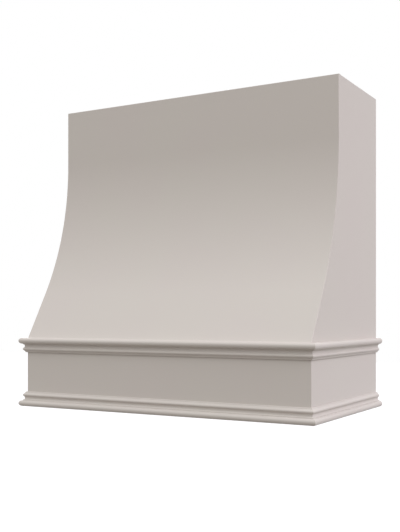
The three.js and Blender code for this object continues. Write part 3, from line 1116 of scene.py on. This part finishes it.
# A corner block is half of a square one, cut through its middle
def halve(node, normal):
    low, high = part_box(node)
    return lambda: sawOff((low + high) / 2, normal)


def makeBoards():
    pineBoard("hanging_rail", hookDown, ("left_bracket_screw", "right_bracket_screw"))
    drillForStuds(pineBoard("wall_cleat", hookUp, endForEnd=True))
    pineBoard("lower_back_rail")
    pineBoard("skin_base_rail", planeToSlope, endForEnd=True)
    pineBoard("top_front_rail")
    for place, turned in (("front", False), ("rear", True), ("left", False), ("right", True)):
        pineBoard(f"{place}_strip", drilledFor=[f"{place}_strip_screw"], endForEnd=turned)
    for hand, sign in (("left", -1), ("right", 1)):
        for place, towards in (("front", 1), ("rear", -1)):
            node = f"{hand}_{place}_block"
            pineBoard(node, halve(node, (-sign, towards, 0)))


makeBoards()
print("pine boards made")


# Plywood ribs behind the curve, and the floor that takes the ventilation insert

ribs = {"depth": 0.06, "plies": 13, "arris": 0.0005}


# Where a line behind the front passes from the straight slope into the curve
def arcStart(x, behind):
    radius = curve["radius"] + behind
    return Vector((x, curveCentre.y + radius * math.cos(slope), curveCentre.z - radius * math.sin(slope)))


def rib(hand):
    low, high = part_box(f"{hand}_rib")
    x = low.x
    skinBack = curve["skin"] + glueLine
    farBack = skinBack + ribs["depth"]
    headY = skinBack - curve["topDepth"]
    topRailBack = topRailHigh.y + glueLine
    railFoot = topRailLow.z - glueLine
    overBase = baseRailHigh.z + glueLine
    baseBack = baseRailHigh.y + glueLine
    first = (x, topRailBack, high.z)
    piece = startLine(f"{hand}_rib_finished", first)
    lineTo((x, topRailBack, railFoot), (x, headY, railFoot), (x, headY, curveTopZ))
    followCurve()
    lineTo(slopePoint(x, skinBack, overBase), (x, baseBack, overBase), (x, baseBack, low.z))
    lineTo(slopePoint(x, farBack, low.z), arcStart(x, farBack))
    followCurve(back=True)
    lineTo((x, farBack - curve["topDepth"], high.z))
    drawOut(first, toRight * (high.x - x))
    stopEditing()
    edge = plywoodEdge(f"edge of the {hand} rib", "X", x, high.x - x, ribs["plies"])
    softenArrises(piece, ribs["arris"], segments=1)
    finishFaces(piece, (veneerUp, everywhere), (edge, edgeOn(toRight)))
    hang(piece, f"{hand}_rib")


insertPanel = {
    "rimSide": 0.0757,
    "rimFront": 0.0732,
    "cornerRadius": 0.008,
    "pastFace": 0.01,  # how far the cutter of the opening runs past each face
    "plies": 9,
    "arris": 0.0006,
}


def insertFloor():
    low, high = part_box("insert_panel")
    panel = addBlock("insert_panel_finished", low, high)
    rim = Vector((insertPanel["rimSide"], insertPanel["rimFront"], 0))
    past = upwards * insertPanel["pastFace"]
    opening = addBlock("opening", low + rim - past, high - rim + past)
    startEditing(opening)
    isSide = edgeOn(upwards)
    pickEdges(lambda middle, normals: all(isSide(normal) for normal in normals))
    easeEdges(insertPanel["cornerRadius"], segments=8)
    stopEditing()
    cutWith(panel, opening)
    softenArrises(panel, insertPanel["arris"])
    drill(panel, "floor_screw")
    edge = plywoodEdge("edge of the insert panel", "Z", low.z, high.z - low.z, insertPanel["plies"])
    finishFaces(panel, (veneerAcross, everywhere), (edge, edgeOn(upwards)))
    hang(panel, "insert_panel")


rib("left")
rib("right")
insertFloor()
print("plywood pieces made")


# Angle brackets: pressed strip with a round bend, clipped corners and countersunk holes

brackets = {
    "thickness": 0.0025,
    "innerBend": 0.002,
    "bendSteps": 8,
    "cornerRadius": 0.006,
    "nearby": 0.0001,  # an edge this close to a leg's end is at it
}


def angleBracket(hand, sign):
    node = f"{hand}_angle_bracket"
    low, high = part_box(node)
    outerX, farX = (high.x, low.x) if sign > 0 else (low.x, high.x)
    thickness, steps = brackets["thickness"], brackets["bendSteps"]
    outerBend = brackets["innerBend"] + thickness
    legAcross = abs(outerX - farX)
    legDeep = high.y - low.y

    def at(fromSide, fromBack):  # distances from the bracket's two outer faces
        return Vector((outerX - sign * fromSide, high.y - fromBack, low.z))

    piece = startLine(f"{node}_finished", at(legAcross, 0))
    lineTo(at(outerBend, 0))
    turnAbout(at(outerBend, outerBend), upwards, -90 * sign, steps)
    lineTo(at(0, legDeep), at(thickness, legDeep), at(thickness, outerBend))
    turnAbout(at(outerBend, outerBend), upwards, 90 * sign, steps)
    lineTo(at(legAcross, thickness))
    drawOut(at(legAcross, 0), upwards * (high.z - low.z))

    legEnds = [(0, farX, -toRight * sign), (1, low.y, -toBack)]  # axis, place and way of each leg's end

    def isCorner(middle, normals):
        return any(
            abs(middle[axis] - end) < brackets["nearby"]
            and (between(normals, way, upwards) or between(normals, way, -upwards))
            for axis, end, way in legEnds
        )

    pickEdges(isCorner)
    easeEdges(brackets["cornerRadius"], segments=6)
    stopEditing()
    drill(piece, f"{hand}_bracket_screw")
    finishFaces(piece, (steel, everywhere))
    hang(piece, node, smoothDegrees=35)


angleBracket("left", -1)
angleBracket("right", 1)
print("brackets made")


# Stage: a pale floor well below the cover, three broad soft lamps and an even pale surround

studio = {
    "floorBelowFoot": 1.65,
    "floorSize": 60,
    "floorColour": "#F0F0F0",
    "floorToObject": "#807A72",  # what the floor's light is worth to the cover, so that undersides stay dim
    "surround": 0.58,
    "lampSoftDegrees": 50,  # how wide each lamp looks from the cover
    "lampAway": 3,  # where the lamps stand, which changes nothing in their light
}

# Strength and colour of each lamp, and its place in degrees: round to the right from the front, and up
lamps = {
    "lampRight": (1.85, "#F7F4FF", 95, 40),
    "lampFront": (1.09, "#FCFFFE", -20, 55),
    "lampBehind": (1.2, "#FFFFFF", -145, 15),
}


# 1 where the eye or a gloss looks straight at a surface, 0 where it only lights another one
def seenDirectly(tree):
    path = addNode(tree, "LightPath").outputs
    either = {"operation": "MAXIMUM"}
    gloss = addNode(tree, "Math", {**either, 0: path["Is Glossy Ray"], 1: path["Is Transmission Ray"]})
    return addNode(tree, "Math", {**either, 0: path["Is Camera Ray"], 1: gloss})


def addFloor():
    bpy.ops.object.select_all(action="DESELECT")
    place = (0, 0, footZ - studio["floorBelowFoot"])
    bpy.ops.mesh.primitive_plane_add(size=studio["floorSize"], location=place)
    floor = bpy.context.object
    floor.name = "studioFloor"
    material = bpy.data.materials.new("pale studio floor")
    tree = emptyTree(material)
    lighting, seen = linearColour(studio["floorToObject"]), linearColour(studio["floorColour"])
    colour = addNode(tree, "MixRGB", {"Fac": seenDirectly(tree), "Color1": lighting, "Color2": seen})
    pale = addNode(tree, "BsdfDiffuse", {"Color": colour})
    clear = addNode(tree, "BsdfTransparent")
    under = addNode(tree, "NewGeometry").outputs["Backfacing"]
    both = addNode(tree, "MixShader", {0: under, 1: pale, 2: clear})
    addNode(tree, "OutputMaterial", {"Surface": both})
    floor.data.materials.append(material)


def addSurround():
    world = bpy.data.worlds.new("studioSurround")
    bpy.context.scene.world = world
    tree = emptyTree(world)
    strength = addNode(
        tree, "MapRange", {"To Min": studio["surround"], "To Max": 1, "Value": seenDirectly(tree)}
    )
    even = addNode(tree, "Background", {"Color": (1, 1, 1, 1), "Strength": strength})
    addNode(tree, "OutputWorld", {"Surface": even})


def addLamps():
    for name, (strength, colour, aside, height) in lamps.items():
        aside, height = math.radians(aside), math.radians(height)
        flat = math.cos(height)
        way = Vector((math.sin(aside) * flat, -math.cos(aside) * flat, math.sin(height)))
        bpy.ops.object.light_add(type="SUN", location=way * studio["lampAway"])
        lamp = bpy.context.object
        lamp.name = name
        lamp.rotation_euler = way.to_track_quat("Z", "Y").to_euler()
        lamp.data.energy = strength
        lamp.data.color = linearColour(colour)[:3]
        lamp.data.angle = math.radians(studio["lampSoftDegrees"])


addFloor()
addSurround()
addLamps()
bpy.context.scene.view_settings.view_transform = "Standard"
print("stage set")
